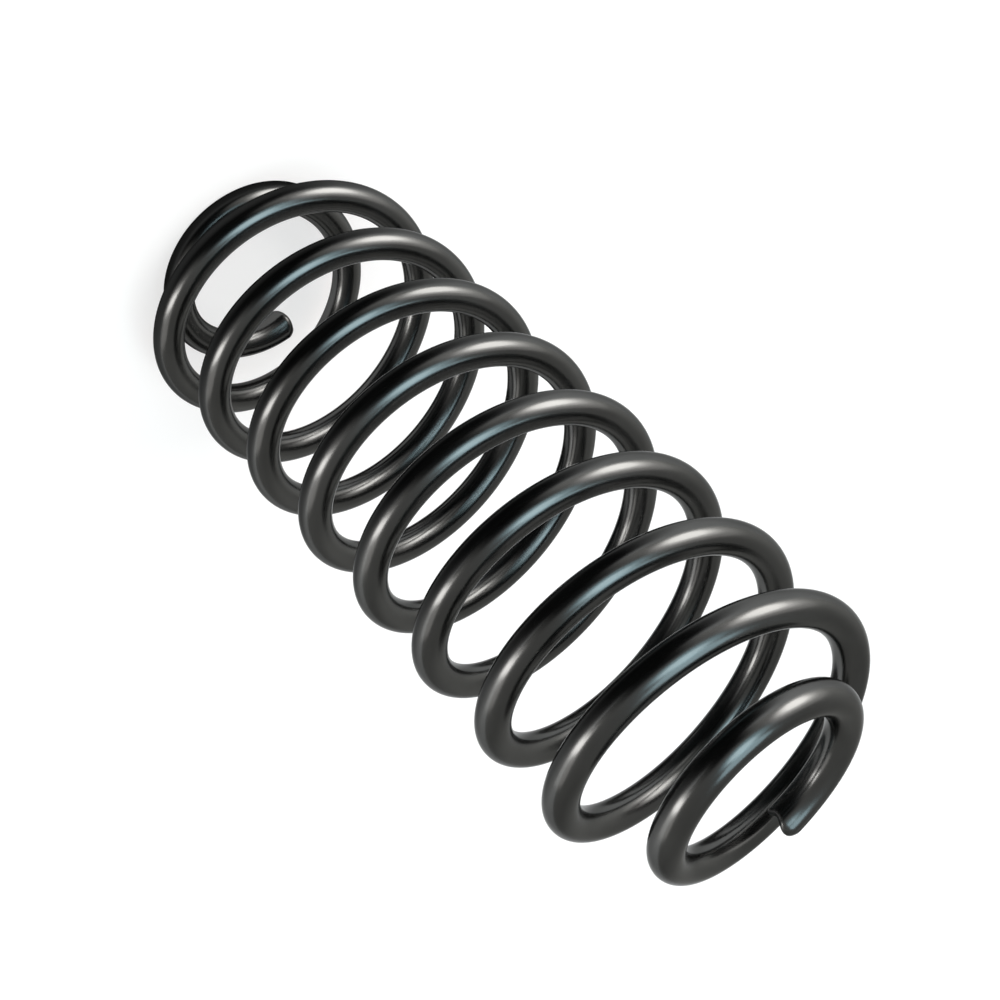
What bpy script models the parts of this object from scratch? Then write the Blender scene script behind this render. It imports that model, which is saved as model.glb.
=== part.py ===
"""Suspension coil spring, standing on its lower end.

One bar of round spring steel is wound left hand: open body turns of one diameter and one pitch,
and a smaller flat coil, a pigtail, at each end, which lies on the spring's seat. The bar is cut
square at both ends, and each cut edge has a small chamfer.

The origin is on the spring's axis, in the plane that the lower pigtail rests on. +Z is up along
the axis, and the lower cut end lies at +X. Places along the wire are counted in turns from the
lower cut end.
"""

import math

import bpy
import numpy as np

# Bar and body turns. Lengths are in metres, and diameters of a coil are to the middle of the wire.
WIRE_DIAMETER = 0.0130
BODY_DIAMETER = 0.1128
BODY_PITCH = 0.03874
TOTAL_TURNS = 9.991
WINDING = -1
END_CHAMFER = 0.0008

# Lower pigtail: the turns for which it keeps its diameter, those in which it widens to the body,
# those in which the pitch grows to the body's, and the clear gap from the cut end to the wire
# one turn on.
LOWER_DIAMETER = 0.0749
LOWER_CENTRE = (-0.0020, -0.0015)
LOWER_KEPT_TURNS = 0.645
LOWER_WIDENING_TURNS = 0.493
LOWER_RAMP_TURNS = 0.500
LOWER_END_GAP = 0.0067

# Upper pigtail: the same, and its cut end stands out from the small circle by the tip opening.
UPPER_DIAMETER = 0.0660
UPPER_CENTRE = (-0.0105, -0.0021)
UPPER_KEPT_TURNS = 0.537
UPPER_WIDENING_TURNS = 0.678
UPPER_RAMP_TURNS = 0.558
UPPER_END_GAP = 0.0028
UPPER_TIP_OPENING = 0.0145

# How finely the round shapes are cut into flats.
POINTS_PER_TURN = 40
BEVEL_RESOLUTION = 2
WIRE_SIDES = 4 + 2 * BEVEL_RESOLUTION

# Coating, as linear colour.
COATING_COLOUR = (0.022, 0.022, 0.023, 1.0)
COATING_ROUGHNESS = 0.32
COATING_METALLIC = 0.35

WIRE_RADIUS = WIRE_DIAMETER / 2
BODY_RADIUS = BODY_DIAMETER / 2


def smooth_step(x):
    """0 up to x = 0, 1 from x = 1, and a smooth cubic between."""
    x = np.clip(x, 0.0, 1.0)
    return x * x * (3.0 - 2.0 * x)


def smooth_rise(turns, start, length):
    """Turns of full pitch gained where the pitch grows from nothing, by smooth_step, from start over length."""
    x = np.clip((turns - start) / length, 0.0, 1.0)
    return length * (x**3 - x**4 / 2) + np.maximum(turns - start - length, 0.0)


def plan(turns):
    """Centreline seen from above, as rows of x and y, at these turns from the lower cut end."""
    from_top = TOTAL_TURNS - turns
    lower = 1.0 - smooth_step((turns - LOWER_KEPT_TURNS) / LOWER_WIDENING_TURNS)
    upper = 1.0 - smooth_step((from_top - UPPER_KEPT_TURNS) / UPPER_WIDENING_TURNS)
    opening = UPPER_TIP_OPENING * np.maximum(1.0 - from_top / UPPER_KEPT_TURNS, 0.0) ** 2
    radius = (
        BODY_RADIUS
        - lower * (BODY_RADIUS - LOWER_DIAMETER / 2)
        - upper * (BODY_RADIUS - UPPER_DIAMETER / 2 - opening)
    )
    angle = WINDING * 2.0 * math.pi * turns
    across = np.stack([np.cos(angle), np.sin(angle)], axis=1)
    centre = np.outer(lower, LOWER_CENTRE) + np.outer(upper, UPPER_CENTRE)
    return radius[:, None] * across + centre


def ramp_start(cut_end, one_turn_on, ramp_turns, gap):
    """Turns of flat wire at an end, so that the wire one turn on clears the cut end by the gap."""
    end, neighbour = plan(np.array([cut_end, one_turn_on]))
    sideways = math.dist(end, neighbour)
    along_axis = math.sqrt(max((WIRE_DIAMETER + gap) ** 2 - sideways**2, 0.0))
    ramp_middle = 1.0 - along_axis / BODY_PITCH
    return ramp_middle - ramp_turns / 2


def heights(turns):
    """Height of the centreline: each half of the wire is worked out from its own cut end."""
    lower_start = ramp_start(0.0, 1.0, LOWER_RAMP_TURNS, LOWER_END_GAP)
    upper_start = ramp_start(TOTAL_TURNS, TOTAL_TURNS - 1.0, UPPER_RAMP_TURNS, UPPER_END_GAP)
    lost_turns = lower_start + LOWER_RAMP_TURNS / 2 + upper_start + UPPER_RAMP_TURNS / 2
    top = WIRE_RADIUS + BODY_PITCH * (TOTAL_TURNS - lost_turns)
    from_bottom = WIRE_RADIUS + BODY_PITCH * smooth_rise(turns, lower_start, LOWER_RAMP_TURNS)
    from_top = top - BODY_PITCH * smooth_rise(TOTAL_TURNS - turns, upper_start, UPPER_RAMP_TURNS)
    return np.where(turns < TOTAL_TURNS / 2, from_bottom, from_top)


def centreline():
    """Points along the middle of the wire, with one more at each chamfer's inner edge."""
    turns = np.linspace(0.0, TOTAL_TURNS, round(TOTAL_TURNS * POINTS_PER_TURN) + 1)
    points = np.column_stack([plan(turns), heights(turns)])
    first_step = points[1] - points[0]
    last_step = points[-2] - points[-1]
    lower_edge = points[0] + END_CHAMFER * first_step / np.linalg.norm(first_step)
    upper_edge = points[-1] + END_CHAMFER * last_step / np.linalg.norm(last_step)
    return np.vstack([points[0], lower_edge, points[1:-1], upper_edge, points[-1]])


def coating_material():
    """Semi-gloss black coating on steel."""
    material = bpy.data.materials.new("black_coating")
    material.use_nodes = True
    shader = material.node_tree.nodes["Principled BSDF"]
    shader.inputs["Base Color"].default_value = COATING_COLOUR
    shader.inputs["Roughness"].default_value = COATING_ROUGHNESS
    shader.inputs["Metallic"].default_value = COATING_METALLIC
    material.diffuse_color = COATING_COLOUR
    return material


def add_spring(collection):
    """The wound wire. Its flats touch the round bar, and one flat faces straight down."""
    points = centreline()
    sizes = np.ones(len(points))
    sizes[[0, -1]] = 1.0 - END_CHAMFER / WIRE_RADIUS
    curve = bpy.data.curves.new("coil_spring", "CURVE")
    curve.dimensions = "3D"
    curve.twist_mode = "Z_UP"
    curve.bevel_depth = WIRE_RADIUS / math.cos(math.pi / WIRE_SIDES)
    curve.bevel_resolution = BEVEL_RESOLUTION
    curve.use_fill_caps = True
    spline = curve.splines.new("POLY")
    spline.points.add(len(points) - 1)
    spline.points.foreach_set("co", np.column_stack([points, np.ones(len(points))]).ravel())
    spline.points.foreach_set("radius", sizes)
    spline.points.foreach_set("tilt", np.full(len(points), math.pi / WIRE_SIDES))
    spline.use_smooth = True
    curve.materials.append(coating_material())
    spring = bpy.data.objects.new("coil_spring", curve)
    collection.objects.link(spring)
    return spring


for leftover in list(bpy.data.objects):
    bpy.data.objects.remove(leftover, do_unlink=True)
parts = bpy.data.collections.new("suspension_spring")
bpy.context.scene.collection.children.link(parts)
add_spring(parts)
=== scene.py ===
"""Looks of a suspension coil spring: the round wire, its black coating, the floor, light and camera."""

import math

import bpy
import numpy as np
from mathutils import Matrix, Vector


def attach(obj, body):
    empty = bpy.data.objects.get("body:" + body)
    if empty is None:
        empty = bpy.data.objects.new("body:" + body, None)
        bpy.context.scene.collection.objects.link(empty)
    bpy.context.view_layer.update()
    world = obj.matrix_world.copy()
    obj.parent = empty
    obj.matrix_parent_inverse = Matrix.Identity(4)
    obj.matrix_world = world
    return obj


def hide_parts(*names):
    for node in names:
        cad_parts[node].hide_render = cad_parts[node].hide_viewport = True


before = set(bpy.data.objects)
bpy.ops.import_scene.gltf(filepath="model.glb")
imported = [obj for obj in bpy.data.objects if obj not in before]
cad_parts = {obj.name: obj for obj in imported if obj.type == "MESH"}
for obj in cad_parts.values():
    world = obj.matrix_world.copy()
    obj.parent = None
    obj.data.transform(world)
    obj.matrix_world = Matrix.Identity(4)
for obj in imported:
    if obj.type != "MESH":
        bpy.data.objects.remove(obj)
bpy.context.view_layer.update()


# The wound wire. The real piece is one bar of round spring steel, coiled hot to the left round a
# mandrel, with a smaller flat coil at each end. A hot shear cuts both ends and leaves them rounded
# and a little flared. It is then shot peened and coated black all over, which leaves a satin skin.

# The bar and the body turns. Lengths are in metres, and a coil's radius is to the wire's middle.
WIRE_RADIUS = 0.0065
BODY_RADIUS = 0.0564
BODY_PITCH = 0.03874
TOTAL_TURNS = 9.991
WINDING = -1

# The lower end coil: its circle, the turns for which it keeps it, those in which it widens to the
# body and those in which it takes up the body's pitch, and the gap from the cut end to the next turn.
LOWER_RADIUS = 0.03745
LOWER_CENTRE = (-0.0020, -0.0015)
LOWER_KEPT_TURNS = 0.645
LOWER_WIDENING_TURNS = 0.493
LOWER_RAMP_TURNS = 0.500
LOWER_END_GAP = 0.0067

# The upper end coil: the same, and its cut end stands out from the small circle by the tip opening.
UPPER_RADIUS = 0.0330
UPPER_CENTRE = (-0.0105, -0.0021)
UPPER_KEPT_TURNS = 0.537
UPPER_WIDENING_TURNS = 0.678
UPPER_RAMP_TURNS = 0.558
UPPER_END_GAP = 0.0028
UPPER_TIP_OPENING = 0.0145

# How finely the skin is divided, and short steps in turns that give the wire's length and direction.
RINGS_PER_TURN = 150
SIDES_OF_WIRE = 60
EDGE_RINGS = 11
FACE_RINGS = 9
BODY_RINGS_LEFT_OUT = 3
LENGTH_STEP = 1e-4
DIRECTION_STEP = 1e-5

# What the shear does to the cut ends. Their edges are rounded. The lower face is rounded over towards
# two sides, and the upper one is a wave with one corner drawn out.
LOWER_ROUNDING = 0.0026
UPPER_ROUNDING = 0.0038
LOWER_ROUNDED_OVER = 0.0026
LOWER_LENGTHENED = 0.0017
LOWER_ROUND_ANGLE = math.radians(240)
UPPER_CUT_WAVE = 0.0015
UPPER_WAVE_START = 0.26
UPPER_WAVES = 1.15
UPPER_CORNER = 0.0014
UPPER_LENGTHENED = -0.0001
CUT_DEPTH = 0.0080

# Both bars are wider at the cut, towards one side, and the last of the upper one is bent inwards.
LOWER_FLARE = 0.26
LOWER_FLARE_ANGLE = math.radians(225)
LOWER_FLARE_LENGTH = 0.0200
UPPER_FLARE = 0.10
UPPER_FLARE_ANGLE = math.radians(155)
UPPER_FLARE_LENGTH = 0.0280
UPPER_BEND = 0.0013
UPPER_BEND_LENGTH = 0.0450


def smooth_step(x):
    """0 up to x = 0, 1 from x = 1, and between them x squared times (3 minus 2 x)."""
    x = np.clip(x, 0.0, 1.0)
    return x * x * (3.0 - 2.0 * x)


def smooth_rise(turns, start, length):
    """The sum of smooth_step from start on: length times (x cubed minus half x to the fourth), then
    one turn for each turn past the end of the ramp."""
    x = np.clip((turns - start) / length, 0.0, 1.0)
    return length * (x**3 - x**4 / 2) + np.maximum(turns - start - length, 0.0)


def coil_plan(turns):
    """The wire's middle seen from above: a circle of the body's radius, which smooth_step narrows
    to each end coil's radius and moves to its centre. The upper cut end stands out by a square law."""
    from_top = TOTAL_TURNS - turns
    lower = 1.0 - smooth_step((turns - LOWER_KEPT_TURNS) / LOWER_WIDENING_TURNS)
    upper = 1.0 - smooth_step((from_top - UPPER_KEPT_TURNS) / UPPER_WIDENING_TURNS)
    opening = UPPER_TIP_OPENING * np.maximum(1.0 - from_top / UPPER_KEPT_TURNS, 0.0) ** 2
    radius = (
        BODY_RADIUS
        - lower * (BODY_RADIUS - LOWER_RADIUS)
        - upper * (BODY_RADIUS - UPPER_RADIUS - opening)
    )
    angle = WINDING * 2.0 * math.pi * turns
    across = np.stack([np.cos(angle), np.sin(angle)], axis=1)
    centre = np.outer(lower, LOWER_CENTRE) + np.outer(upper, UPPER_CENTRE)
    return radius[:, None] * across + centre


def ramp_start(cut_end, one_turn_on, ramp_turns, gap):
    """Turns of flat wire at an end: one turn less half the ramp, less the rise, in pitches, that
    leaves the gap between the cut end and the wire one turn on."""
    end, neighbour = coil_plan(np.array([cut_end, one_turn_on]))
    sideways = math.dist(end, neighbour)
    rise = math.sqrt(max((2.0 * WIRE_RADIUS + gap) ** 2 - sideways**2, 0.0))
    return 1.0 - rise / BODY_PITCH - ramp_turns / 2


def coil_heights(turns):
    """Height of the wire's middle: flat at each end, then smooth_rise up to the body's pitch. Each
    half of the wire is worked out from its own cut end."""
    lower = ramp_start(0.0, 1.0, LOWER_RAMP_TURNS, LOWER_END_GAP)
    upper = ramp_start(TOTAL_TURNS, TOTAL_TURNS - 1.0, UPPER_RAMP_TURNS, UPPER_END_GAP)
    lost = lower + LOWER_RAMP_TURNS / 2 + upper + UPPER_RAMP_TURNS / 2
    top = WIRE_RADIUS + BODY_PITCH * (TOTAL_TURNS - lost)
    from_bottom = WIRE_RADIUS + BODY_PITCH * smooth_rise(turns, lower, LOWER_RAMP_TURNS)
    from_top = top - BODY_PITCH * smooth_rise(TOTAL_TURNS - turns, upper, UPPER_RAMP_TURNS)
    return np.where(turns < TOTAL_TURNS / 2, from_bottom, from_top)


def wire_middle(turns):
    """Points on the wire's middle line: the plan with its heights."""
    return np.column_stack([coil_plan(turns), coil_heights(turns)])


def wire_rings():
    """One row for each ring of the skin: turns along the wire, and share of the wire's radius. The
    body's rings have share 1. At a cut end the rounded edge is a quarter circle: with e the rounding
    over the wire's radius, share = 1 - e + e sin t, at the rounding times (1 - cos t) from the cut.
    The face's rings close on the middle."""
    body_turns = np.linspace(0.0, TOTAL_TURNS, round(TOTAL_TURNS * RINGS_PER_TURN))
    body_turns = body_turns[BODY_RINGS_LEFT_OUT:-BODY_RINGS_LEFT_OUT]
    t = np.linspace(0.0, math.pi / 2, EDGE_RINGS)
    shares, turns = [], []
    for rounding, start in ((LOWER_ROUNDING, 0.0), (UPPER_ROUNDING, TOTAL_TURNS - LENGTH_STEP)):
        edge = rounding / WIRE_RADIUS
        face_share = np.linspace(0.0, 1.0 - edge, FACE_RINGS + 1)[1:-1]
        back = np.concatenate([np.zeros(FACE_RINGS - 1), rounding * (1.0 - np.cos(t))])
        step = np.diff(wire_middle(np.array([start, start + LENGTH_STEP])), axis=0)
        shares.append(np.concatenate([face_share, 1.0 - edge + edge * np.sin(t)]))
        turns.append(back * LENGTH_STEP / np.linalg.norm(step))
    turns = np.concatenate([turns[0], body_turns, TOTAL_TURNS - turns[1][::-1]])
    share = np.concatenate([shares[0], np.ones(len(body_turns)), shares[1][::-1]])
    return turns, share


def wire_frames(turns):
    """Middle, direction, and the two directions across it, at each place: level = up x direction,
    made a unit long, and raised = direction x level."""
    before = np.clip(turns - DIRECTION_STEP, 0.0, TOTAL_TURNS)
    after = np.clip(turns + DIRECTION_STEP, 0.0, TOTAL_TURNS)
    direction = wire_middle(after) - wire_middle(before)
    direction /= np.linalg.norm(direction, axis=1)[:, None]
    level = np.cross([0.0, 0.0, 1.0], direction)
    level /= np.linalg.norm(level, axis=1)[:, None]
    raised = np.cross(direction, level)
    return wire_middle(turns), direction, level, raised


def sheared(share, angle, from_lower, from_upper):
    """How far the shear pushes each place along the wire. Over the section x and y go from -1 to 1,
    and u is the share of the radius towards the round angle. At the lower end it is rounded over
    times u squared, less lengthened. At the upper end it is lengthened + wave times the sine of
    (waves pi (y - start)) - corner x (1 - y) / 2. It dies away into the bar by 1 - smooth_step
    (distance / depth)."""
    x = share * np.cos(angle)[None, :]
    y = share * np.sin(angle)[None, :]
    u = share * np.cos(angle - LOWER_ROUND_ANGLE)[None, :]
    round_face = LOWER_ROUNDED_OVER * u**2 - LOWER_LENGTHENED
    wave = UPPER_CUT_WAVE * np.sin(UPPER_WAVES * math.pi * (y - UPPER_WAVE_START))
    wavy_face = wave - UPPER_CORNER * x * (1.0 - y) / 2
    lower = 1.0 - smooth_step(from_lower / CUT_DEPTH)
    upper = 1.0 - smooth_step(from_upper / CUT_DEPTH)
    return lower[:, None] * round_face + upper[:, None] * (UPPER_LENGTHENED + wavy_face)


def flare(angle, from_lower, from_upper):
    """How much wider the bar is: 1 + flare (1 - distance / length) squared, times the fourth power
    of the cosine of half the angle from the flare's own, which keeps it to one side."""
    lower = LOWER_FLARE * np.maximum(1.0 - from_lower / LOWER_FLARE_LENGTH, 0.0) ** 2
    upper = UPPER_FLARE * np.maximum(1.0 - from_upper / UPPER_FLARE_LENGTH, 0.0) ** 2
    lower_side = np.cos((angle - LOWER_FLARE_ANGLE) / 2) ** 4
    upper_side = np.cos((angle - UPPER_FLARE_ANGLE) / 2) ** 4
    return 1.0 + lower[:, None] * lower_side[None, :] + upper[:, None] * upper_side[None, :]


def wire_faces(rings):
    """Quads between each ring and the next, and at each cut a fan of triangles round its pole. The
    two poles are the last points."""
    ring = np.arange(rings - 1)[:, None] * SIDES_OF_WIRE
    side = np.arange(SIDES_OF_WIRE)[None, :]
    beside = (side + 1) % SIDES_OF_WIRE
    quads = np.stack(
        [ring + side, ring + beside, ring + SIDES_OF_WIRE + beside, ring + SIDES_OF_WIRE + side],
        axis=-1,
    ).reshape(-1, 4)
    last = (rings - 1) * SIDES_OF_WIRE
    lower_pole = np.full(SIDES_OF_WIRE, rings * SIDES_OF_WIRE)
    lower_fan = np.column_stack([lower_pole, beside[0], side[0]])
    upper_fan = np.column_stack([lower_pole + 1, last + side[0], last + beside[0]])
    return quads.tolist() + lower_fan.tolist() + upper_fan.tolist()


def wound_wire_mesh():
    """The skin at (turns s, angle a) is middle(s) + share R flare (cos a level(s) + sin a raised(s))
    + sheared direction(s), and it is never above or below the planes of the spring's seats. The
    upper end is bent in by bend (1 - distance / length) squared."""
    turns, share = wire_rings()
    middle, direction, level, raised = wire_frames(turns)
    steps = np.linalg.norm(np.diff(middle, axis=0), axis=1)
    length = np.concatenate([[0.0], np.cumsum(steps)])
    from_lower, from_upper = length, length[-1] - length
    bend = UPPER_BEND * np.maximum(1.0 - from_upper / UPPER_BEND_LENGTH, 0.0) ** 2
    middle = middle - bend[:, None] * level
    angle = np.linspace(0.0, 2.0 * math.pi, SIDES_OF_WIRE, endpoint=False)
    across = (
        np.cos(angle)[None, :, None] * level[:, None, :]
        + np.sin(angle)[None, :, None] * raised[:, None, :]
    )
    share = share[:, None]
    radius = (share * WIRE_RADIUS * flare(angle, from_lower, from_upper))[:, :, None]
    along = sheared(share, angle, from_lower, from_upper)[:, :, None]
    skin = middle[:, None, :] + radius * across + along * direction[:, None, :]
    skin[:, :, 2] = np.clip(skin[:, :, 2], 0.0, middle[:, 2].max() + WIRE_RADIUS)
    rings = len(turns)
    pole_along = sheared(np.zeros((rings, 1)), angle[:1], from_lower, from_upper)[[0, -1]]
    poles = middle[[0, -1]] + pole_along * direction[[0, -1]]

    mesh = bpy.data.meshes.new("wound_wire")
    mesh.from_pydata(np.vstack([skin.reshape(-1, 3), poles]), [], wire_faces(rings))
    mesh.polygons.foreach_set("use_smooth", np.ones(len(mesh.polygons), dtype=bool))

    # Where a point lies on the straight bar, before it was wound: along it, and the two ways across.
    bar = np.stack(
        [
            np.broadcast_to(length[:, None], (rings, SIDES_OF_WIRE)),
            share * WIRE_RADIUS * np.cos(angle)[None, :],
            share * WIRE_RADIUS * np.sin(angle)[None, :],
        ],
        axis=-1,
    ).reshape(-1, 3)
    bar = np.vstack([bar, [[0.0, 0.0, 0.0], [length[-1], 0.0, 0.0]]])
    attribute = mesh.attributes.new("place_on_bar", "FLOAT_VECTOR", "POINT")
    attribute.data.foreach_set("vector", bar.astype(np.float32).ravel())

    # 1 on the two cut faces and the inner half of their rounded edges, and from there down to 0 on
    # the wound skin.
    edge = np.where(from_lower < from_upper, LOWER_ROUNDING, UPPER_ROUNDING) / WIRE_RADIUS
    cut = np.repeat(np.clip(2.0 * (1.0 - share[:, 0]) / edge, 0.0, 1.0), SIDES_OF_WIRE)
    cut = np.concatenate([cut, [1.0, 1.0]])
    attribute = mesh.attributes.new("cut_face", "FLOAT", "POINT")
    attribute.data.foreach_set("value", cut.astype(np.float32))
    mesh.update()
    return mesh


# The coating's colours and those of the cut faces, each from its darkest to its palest, and how much
# of its reflectance the coating keeps at grazing angles.
SKIN_COLOURS = ((0.088, 0.0885, 0.087, 1.0), (0.112, 0.1125, 0.111, 1.0))
CUT_COLOURS = ((0.048, 0.047, 0.046, 1.0), (0.084, 0.082, 0.080, 1.0))
GRAZING_TINT = (0.45, 0.45, 0.45, 1.0)
SKIN_ROUGHNESS = (0.185, 0.25)
LINES_ROUGHNESS = (-0.015, 0.015)
CUT_EXTRA_ROUGHNESS = 0.30

# Each pattern's waves to a metre along the bar and the two ways across it, and its detail.
CLOUDS = (38.0, 120.0, 120.0, 4.0)
LINES = (16.0, 850.0, 850.0, 2.0)
RIPPLE = (300.0, 300.0, 300.0, 1.0)
GRAIN = (1500.0, 1500.0, 1500.0, 1.0)
STREAKS = (40.0, 2400.0, 150.0, 2.0)
TORN = (900.0, 1100.0, 1100.0, 5.0)

# The middle part of a pattern's values, in which most of them lie, and each relief's height.
MOST_OF_PATTERN = (0.3, 0.7)
MOST_OF_TORN = (0.35, 0.65)
RIPPLE_HEIGHT = 0.000010
LINES_HEIGHT = 0.0000012
GRAIN_HEIGHT = 0.0000015
CUT_HEIGHT = 0.00013


def black_coating():
    """Black coating on peened steel. Every pattern lies on the straight bar, in metres, so that it
    follows the wire: broad clouds, fine lines along the bar, the coating's own soft ripple and
    grain, and on the cut faces the streaks and the torn grain that the shear leaves."""
    material = bpy.data.materials.new("black_coating")
    material.use_nodes = True
    nodes = material.node_tree.nodes
    links = material.node_tree.links
    shader = nodes["Principled BSDF"]
    shader.inputs["Metallic"].default_value = 1.0
    shader.inputs["Specular Tint"].default_value = GRAZING_TINT

    place = nodes.new("ShaderNodeAttribute")
    place.attribute_name = "place_on_bar"
    cut_face = nodes.new("ShaderNodeAttribute")
    cut_face.attribute_name = "cut_face"

    def pattern(per_metre_along, per_metre_a, per_metre_b, detail):
        """Noise with this many waves to a metre along the bar and the two ways across it."""
        stretched = nodes.new("ShaderNodeVectorMath")
        stretched.operation = "MULTIPLY"
        links.new(place.outputs["Vector"], stretched.inputs[0])
        stretched.inputs[1].default_value = (per_metre_along, per_metre_a, per_metre_b)
        noise = nodes.new("ShaderNodeTexNoise")
        noise.inputs["Scale"].default_value = 1.0
        noise.inputs["Detail"].default_value = detail
        links.new(stretched.outputs["Vector"], noise.inputs["Vector"])
        return noise.outputs["Fac"]

    def spread(value, from_range, to_range):
        """The value, with its range from lowest to highest carried over to another such range."""
        node = nodes.new("ShaderNodeMapRange")
        node.inputs["From Min"].default_value = from_range[0]
        node.inputs["From Max"].default_value = from_range[1]
        node.inputs["To Min"].default_value = to_range[0]
        node.inputs["To Max"].default_value = to_range[1]
        links.new(value, node.inputs["Value"])
        return node.outputs["Result"]

    def blend(share, first, second):
        """The first colour or link where share is 0, the second where it is 1."""
        node = nodes.new("ShaderNodeMix")
        node.data_type = "RGBA"
        links.new(share, node.inputs["Factor"])
        for socket, colour in ((node.inputs[6], first), (node.inputs[7], second)):
            if isinstance(colour, tuple):
                socket.default_value = colour
            else:
                links.new(colour, socket)
        return node.outputs[2]

    def combine(operation, first, second):
        """Two numbers put together by this operation. The second may be a plain number."""
        node = nodes.new("ShaderNodeMath")
        node.operation = operation
        links.new(first, node.inputs[0])
        if isinstance(second, float):
            node.inputs[1].default_value = second
        else:
            links.new(second, node.inputs[1])
        return node.outputs["Value"]

    def raise_skin(height, metres, below):
        """The pattern as relief of this height, on top of the relief below."""
        node = nodes.new("ShaderNodeBump")
        node.inputs["Distance"].default_value = metres
        links.new(height, node.inputs["Height"])
        if below:
            links.new(below, node.inputs["Normal"])
        return node.outputs["Normal"]

    clouds = pattern(*CLOUDS)
    lines = pattern(*LINES)
    ripple = pattern(*RIPPLE)
    grain = pattern(*GRAIN)
    streaks = pattern(*STREAKS)
    torn = pattern(*TORN)

    skin_colour = blend(spread(clouds, MOST_OF_PATTERN, (0.0, 1.0)), *SKIN_COLOURS)
    cut_colour = blend(spread(torn, MOST_OF_TORN, (0.0, 1.0)), *CUT_COLOURS)
    links.new(blend(cut_face.outputs["Fac"], skin_colour, cut_colour), shader.inputs["Base Color"])

    cloudy = spread(clouds, MOST_OF_PATTERN, SKIN_ROUGHNESS)
    lined = spread(lines, MOST_OF_PATTERN, LINES_ROUGHNESS)
    dulled = combine("MULTIPLY", cut_face.outputs["Fac"], CUT_EXTRA_ROUGHNESS)
    roughness = combine("ADD", combine("ADD", cloudy, lined), dulled)
    links.new(roughness, shader.inputs["Roughness"])

    cut_relief = combine("MULTIPLY", combine("ADD", streaks, torn), cut_face.outputs["Fac"])
    relief = raise_skin(ripple, RIPPLE_HEIGHT, None)
    relief = raise_skin(lines, LINES_HEIGHT, relief)
    relief = raise_skin(grain, GRAIN_HEIGHT, relief)
    relief = raise_skin(cut_relief, CUT_HEIGHT, relief)
    links.new(relief, shader.inputs["Normal"])
    return material


wound_wire = bpy.data.objects.new("wound_wire", wound_wire_mesh())
bpy.context.scene.collection.objects.link(wound_wire)
wound_wire.data.materials.append(black_coating())
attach(wound_wire, "root")
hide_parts("coil_spring")


# The floor. A plain matt white sheet that the spring's lower coil stands on, and that runs out past
# the picture on every side.

FLOOR_SIZE = 40.0
FLOOR_HEIGHT = -0.0002
FLOOR_LIFT = 0.66
FLOOR_COLOUR = (0.39, 0.365, 0.357, 1.0)


def floor_material():
    """Matt white. Seen directly, or in the coating's gloss, it is lifted to the white of a
    photograph's background, and it keeps the spring's shadow."""
    material = bpy.data.materials.new("white_sheet")
    material.use_nodes = True
    nodes = material.node_tree.nodes
    links = material.node_tree.links
    nodes.clear()
    matt = nodes.new("ShaderNodeBsdfDiffuse")
    matt.inputs["Color"].default_value = FLOOR_COLOUR
    lift = nodes.new("ShaderNodeEmission")
    lift.inputs["Color"].default_value = (1.0, 1.0, 1.0, 1.0)
    path = nodes.new("ShaderNodeLightPath")
    mirrored = nodes.new("ShaderNodeMath")
    mirrored.operation = "MAXIMUM"
    links.new(path.outputs["Is Glossy Ray"], mirrored.inputs[0])
    links.new(path.outputs["Is Transmission Ray"], mirrored.inputs[1])
    seen = nodes.new("ShaderNodeMath")
    seen.operation = "MAXIMUM"
    links.new(path.outputs["Is Camera Ray"], seen.inputs[0])
    links.new(mirrored.outputs["Value"], seen.inputs[1])
    amount = nodes.new("ShaderNodeMath")
    amount.operation = "MULTIPLY"
    links.new(seen.outputs["Value"], amount.inputs[0])
    amount.inputs[1].default_value = FLOOR_LIFT
    links.new(amount.outputs["Value"], lift.inputs["Strength"])
    both = nodes.new("ShaderNodeAddShader")
    links.new(matt.outputs["BSDF"], both.inputs[0])
    links.new(lift.outputs["Emission"], both.inputs[1])
    out = nodes.new("ShaderNodeOutputMaterial")
    links.new(both.outputs["Shader"], out.inputs["Surface"])
    return material


floor_mesh = bpy.data.meshes.new("floor")
half = FLOOR_SIZE / 2
corners = [(-half, -half), (half, -half), (half, half), (-half, half)]
floor_mesh.from_pydata([(x, y, FLOOR_HEIGHT) for x, y in corners], [], [(0, 1, 2, 3)])
floor = bpy.data.objects.new("floor", floor_mesh)
bpy.context.scene.collection.objects.link(floor)
floor.data.materials.append(floor_material())


# The light, with left and right as for someone who stands upright where the camera is. Pale blue-green
# lamps are high over the camera's side and overhead, warm ones low on the left, and warm upright soft
# boxes on the right. A plain surround, brightest low down on the left, fills the rest.

SOFT_BOX_DISTANCE = 0.95
SOFT_BOX_ABOVE_FLOOR = 0.01

# The surround's strength overhead and low down, and the direction's y and z over which it changes.
SURROUND_COLOUR = (1.0, 1.0, 0.96, 1.0)
SURROUND_OVERHEAD = 0.40
SURROUND_LOW_RIGHT = 0.44
SURROUND_LOW_LEFT = 1.0
RIGHT_TO_LEFT = (-0.5, 0.1)
LOW_TO_OVERHEAD = (0.0, 0.75)


def toward(azimuth, elevation):
    """The direction at this azimuth, counted from +X towards +Y, and this elevation."""
    a, e = math.radians(azimuth), math.radians(elevation)
    return Vector((math.cos(a) * math.cos(e), math.sin(a) * math.cos(e), math.sin(e)))


def hang(data, place, direction):
    """Puts the lamp in the scene at this place, where it shines from this direction."""
    lamp = bpy.data.objects.new(data.name, data)
    bpy.context.scene.collection.objects.link(lamp)
    lamp.location = place
    lamp.rotation_euler = direction.to_track_quat("Z", "Y").to_euler()
    return lamp


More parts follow.
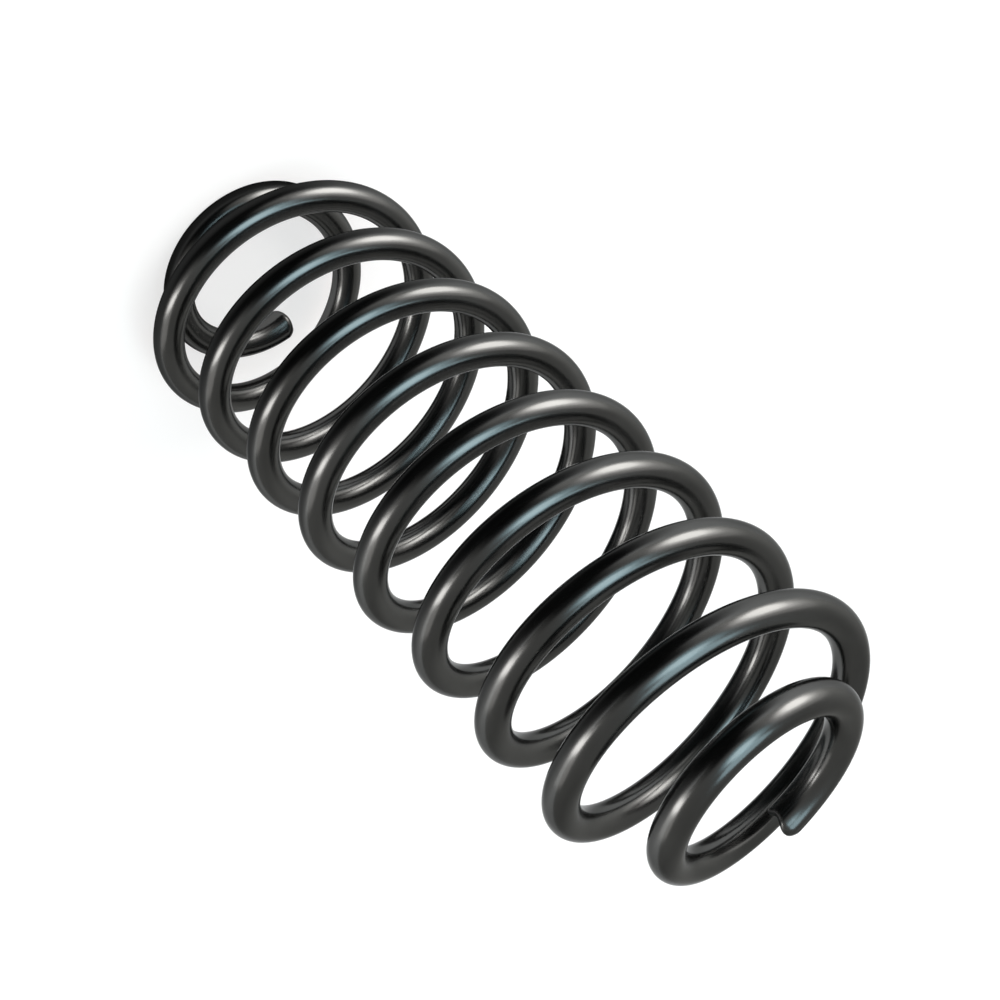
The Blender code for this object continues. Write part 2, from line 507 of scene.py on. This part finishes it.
def soft_lamp(name, azimuth, elevation, half_width, radiance, colour):
    """A round lamp, far off in this direction, that many degrees from its middle to its edge. Its
    strength is radiance times pi times the square of the sine of that angle."""
    data = bpy.data.lights.new(name, "SUN")
    data.angle = 2.0 * math.radians(half_width)
    data.energy = radiance * math.pi * math.sin(math.radians(half_width)) ** 2
    data.color = colour
    direction = toward(azimuth, elevation)
    hang(data, direction, direction)


def soft_box(name, azimuth, width, height, radiance, colour):
    """An upright soft box that stands on the floor and faces the spring. Its strength is radiance
    times pi times its area."""
    data = bpy.data.lights.new(name, "AREA")
    data.shape = "RECTANGLE"
    data.size = width
    data.size_y = height
    data.energy = radiance * math.pi * width * height
    data.color = colour
    raised_by = Vector((0.0, 0.0, height / 2 + SOFT_BOX_ABOVE_FLOOR))
    place = SOFT_BOX_DISTANCE * toward(azimuth, 0) + raised_by
    hang(data, place, toward(azimuth, 0)).visible_camera = False


# Each light is brightest in its middle: a core, and a wider and fainter glow round it.
soft_lamp("overhead_lamp", 178, 60, 13.5, 3.3, (0.80, 1.00, 1.07))
soft_lamp("overhead_glow", 175, 57, 21.5, 1.25, (0.60, 1.00, 1.15))
soft_lamp("top_lamp", 120, 87, 17.0, 2.5, (0.70, 1.00, 1.12))
soft_lamp("left_lamp", 115, 21, 15.0, 5.4, (1.00, 0.975, 0.945))
soft_lamp("left_rim", 113, 23, 21.5, 1.9, (1.00, 0.970, 0.940))
soft_lamp("left_glow", 108, 25, 30.0, 0.85, (1.00, 0.970, 0.945))
soft_box("right_soft_box", 253, 0.25, 0.47, 7.5, (1.00, 0.975, 0.955))
soft_box("right_glow", 264, 0.90, 0.56, 1.0, (1.00, 0.970, 0.945))


def studio_surround():
    """The world's strength goes by smooth_step of the direction's z from its low value to the one
    overhead, and the low value goes by smooth_step of the direction's y from the right's to the
    left's."""
    world = bpy.data.worlds.new("studio")
    world.use_nodes = True
    nodes = world.node_tree.nodes
    links = world.node_tree.links
    seen_from_spring = nodes.new("ShaderNodeTexCoord")
    direction = nodes.new("ShaderNodeSeparateXYZ")
    links.new(seen_from_spring.outputs["Generated"], direction.inputs["Vector"])
    low_down = nodes.new("ShaderNodeMapRange")
    low_down.interpolation_type = "SMOOTHSTEP"
    low_down.inputs["From Min"].default_value = RIGHT_TO_LEFT[0]
    low_down.inputs["From Max"].default_value = RIGHT_TO_LEFT[1]
    low_down.inputs["To Min"].default_value = SURROUND_LOW_RIGHT
    low_down.inputs["To Max"].default_value = SURROUND_LOW_LEFT
    links.new(direction.outputs["Y"], low_down.inputs["Value"])
    brightness = nodes.new("ShaderNodeMapRange")
    brightness.interpolation_type = "SMOOTHSTEP"
    brightness.inputs["From Min"].default_value = LOW_TO_OVERHEAD[0]
    brightness.inputs["From Max"].default_value = LOW_TO_OVERHEAD[1]
    brightness.inputs["To Max"].default_value = SURROUND_OVERHEAD
    links.new(direction.outputs["Z"], brightness.inputs["Value"])
    links.new(low_down.outputs["Result"], brightness.inputs["To Min"])
    background = nodes["Background"]
    background.inputs["Color"].default_value = SURROUND_COLOUR
    links.new(brightness.outputs["Result"], background.inputs["Strength"])
    return world


bpy.context.scene.world = studio_surround()


# The dark side of the studio. A black cloth hangs behind the camera and lies on the floor before it,
# and thins out towards its edges. Only the coating's gloss shows it. Under the spring the cloth is
# painted shade: a dark patch that stands in for the spring's shadow on the floor, as the coating's
# gloss would show it.

CLOTH_COLOUR = (0.01, 0.01, 0.01, 1.0)
CLOTH_DISTANCE = 0.9
CLOTH_ABOVE_FLOOR = 0.001
EYE_HEIGHT = 0.17
CLOTH_AZIMUTHS = (-20.0, 340.0, 121)
CLOTH_ELEVATIONS = (-88.0, 44.0, 67)

# Azimuths at which the cloth is clear and full on either side: at eye level, how much further on low
# down, and how much further again towards the floor. LOW_DOWN and TOWARDS_FLOOR are the elevations
# over which these two set in.
LEFT_CLEAR = (150.0, -34.0, -41.0)
LEFT_FULL = (178.0, -24.0, 0.0)
RIGHT_FULL = (206.0, 8.0, 0.0)
RIGHT_CLEAR = (234.0, 84.0, 60.0)
LOW_DOWN = (-14.0, 8.0)
TOWARDS_FLOOR = (-36.0, -8.0)

# Elevations over which its top and its foot thin out.
TOP_FADE = (26.0, 41.0)
FOOT_FADE = (-80.0, -40.0)
FOOT_THICKNESS = 0.75

# The painted shade under the spring, a dark patch of the cloth that stands in for the spring's shadow
# on the floor in the coating's gloss: elevations over which it thins out upwards, and azimuths over
# which it sets in and ends.
PAINTED_SHADE_FADE = (-72.0, -58.0)
PAINTED_SHADE_THICKNESS = 0.92
PAINTED_SHADE_FROM = (60.0, 95.0)
PAINTED_SHADE_TO = (285.0, 320.0)


def fade(angle, start, end):
    """smooth_step of the angle's way from start to end."""
    return smooth_step((angle - start) / (end - start))


def dark_cloth():
    """At (azimuth a, elevation e) seen from the spring's middle, the cloth is CLOTH_DISTANCE away, or
    less where it lies on the floor: (EYE_HEIGHT - CLOTH_ABOVE_FLOOR) / sin(-e). Its thickness fades
    out at every edge."""
    azimuth = np.linspace(*CLOTH_AZIMUTHS)[None, :]
    elevation = np.linspace(*CLOTH_ELEVATIONS)[:, None]
    rows, columns = elevation.size, azimuth.size
    a, e = np.radians(azimuth), np.radians(elevation)
    to_floor = (EYE_HEIGHT - CLOTH_ABOVE_FLOOR) / np.maximum(np.sin(-e), 1e-3)
    distance = np.minimum(CLOTH_DISTANCE, to_floor)
    points = np.stack(
        [
            distance * np.cos(e) * np.cos(a),
            distance * np.cos(e) * np.sin(a),
            np.broadcast_to(distance * np.sin(e) + EYE_HEIGHT, (rows, columns)),
        ],
        axis=-1,
    )
    low = 1.0 - fade(elevation, *LOW_DOWN)
    lowest = 1.0 - fade(elevation, *TOWARDS_FLOOR)

    def edge(at_eye_level, further_low, further_lowest):
        """The edge's azimuth at each elevation: the first, + the second x low + the third x lowest."""
        return at_eye_level + further_low * low + further_lowest * lowest

    left_edge = fade(azimuth, edge(*LEFT_CLEAR), edge(*LEFT_FULL))
    right_edge = 1.0 - fade(azimuth, edge(*RIGHT_FULL), edge(*RIGHT_CLEAR))
    top_edge = 1.0 - fade(elevation, *TOP_FADE)
    foot = FOOT_THICKNESS + (1.0 - FOOT_THICKNESS) * fade(elevation, *FOOT_FADE)
    # Painted shade: on these azimuths the cloth is made dark under the spring, in place of the spring's
    # shadow on the floor as the gloss shows it.
    painted_shade_side = fade(azimuth, *PAINTED_SHADE_FROM) * (1.0 - fade(azimuth, *PAINTED_SHADE_TO))
    painted_shade_under_spring = PAINTED_SHADE_THICKNESS * (1.0 - fade(elevation, *PAINTED_SHADE_FADE)) * painted_shade_side
    thickness = np.maximum(left_edge * right_edge * top_edge * foot, painted_shade_under_spring)

    corner = np.arange(rows - 1)[:, None] * columns + np.arange(columns - 1)[None, :]
    above = corner + columns
    faces = np.stack([corner, corner + 1, above + 1, above], axis=-1).reshape(-1, 4)
    mesh = bpy.data.meshes.new("dark_cloth")
    mesh.from_pydata(points.reshape(-1, 3), [], faces.tolist())
    attribute = mesh.attributes.new("thickness", "FLOAT", "POINT")
    attribute.data.foreach_set("value", thickness.astype(np.float32).ravel())
    return mesh


def cloth_material():
    """Matt black, and clear where the cloth has no thickness."""
    material = bpy.data.materials.new("black_cloth")
    material.use_nodes = True
    nodes = material.node_tree.nodes
    links = material.node_tree.links
    nodes.clear()
    matt = nodes.new("ShaderNodeBsdfDiffuse")
    matt.inputs["Color"].default_value = CLOTH_COLOUR
    clear = nodes.new("ShaderNodeBsdfTransparent")
    thickness = nodes.new("ShaderNodeAttribute")
    thickness.attribute_name = "thickness"
    mixed = nodes.new("ShaderNodeMixShader")
    links.new(thickness.outputs["Fac"], mixed.inputs["Fac"])
    links.new(clear.outputs["BSDF"], mixed.inputs[1])
    links.new(matt.outputs["BSDF"], mixed.inputs[2])
    out = nodes.new("ShaderNodeOutputMaterial")
    links.new(mixed.outputs["Shader"], out.inputs["Surface"])
    return material


cloth = bpy.data.objects.new("dark_cloth", dark_cloth())
bpy.context.scene.collection.objects.link(cloth)
cloth.data.materials.append(cloth_material())
cloth.visible_camera = False
cloth.visible_diffuse = False
cloth.visible_transmission = False
cloth.visible_shadow = False


# The camera. It stands about two thirds of a metre from the spring and above its top, looks down on
# it, and is rolled so that the spring's upper end points down to the right.

CAMERA_PLACE = Vector((-0.52783, -0.08914, 0.53639))
CAMERA_RIGHT = Vector((0.25915, 0.76714, 0.58680))
CAMERA_UP = Vector((-0.50949, 0.62473, -0.59172))
CAMERA_BACK = Vector((-0.82053, -0.14563, 0.55275))
CAMERA_LENS = 60.396

camera_data = bpy.data.cameras.new("camera")
camera_data.lens = CAMERA_LENS
camera_data.sensor_width = 36.0
camera = bpy.data.objects.new("camera", camera_data)
bpy.context.scene.collection.objects.link(camera)
turned = Matrix((CAMERA_RIGHT, CAMERA_UP, CAMERA_BACK)).transposed()
camera.matrix_world = Matrix.Translation(CAMERA_PLACE) @ turned.to_4x4()
bpy.context.scene.camera = camera
bpy.context.scene.view_settings.view_transform = "Standard"
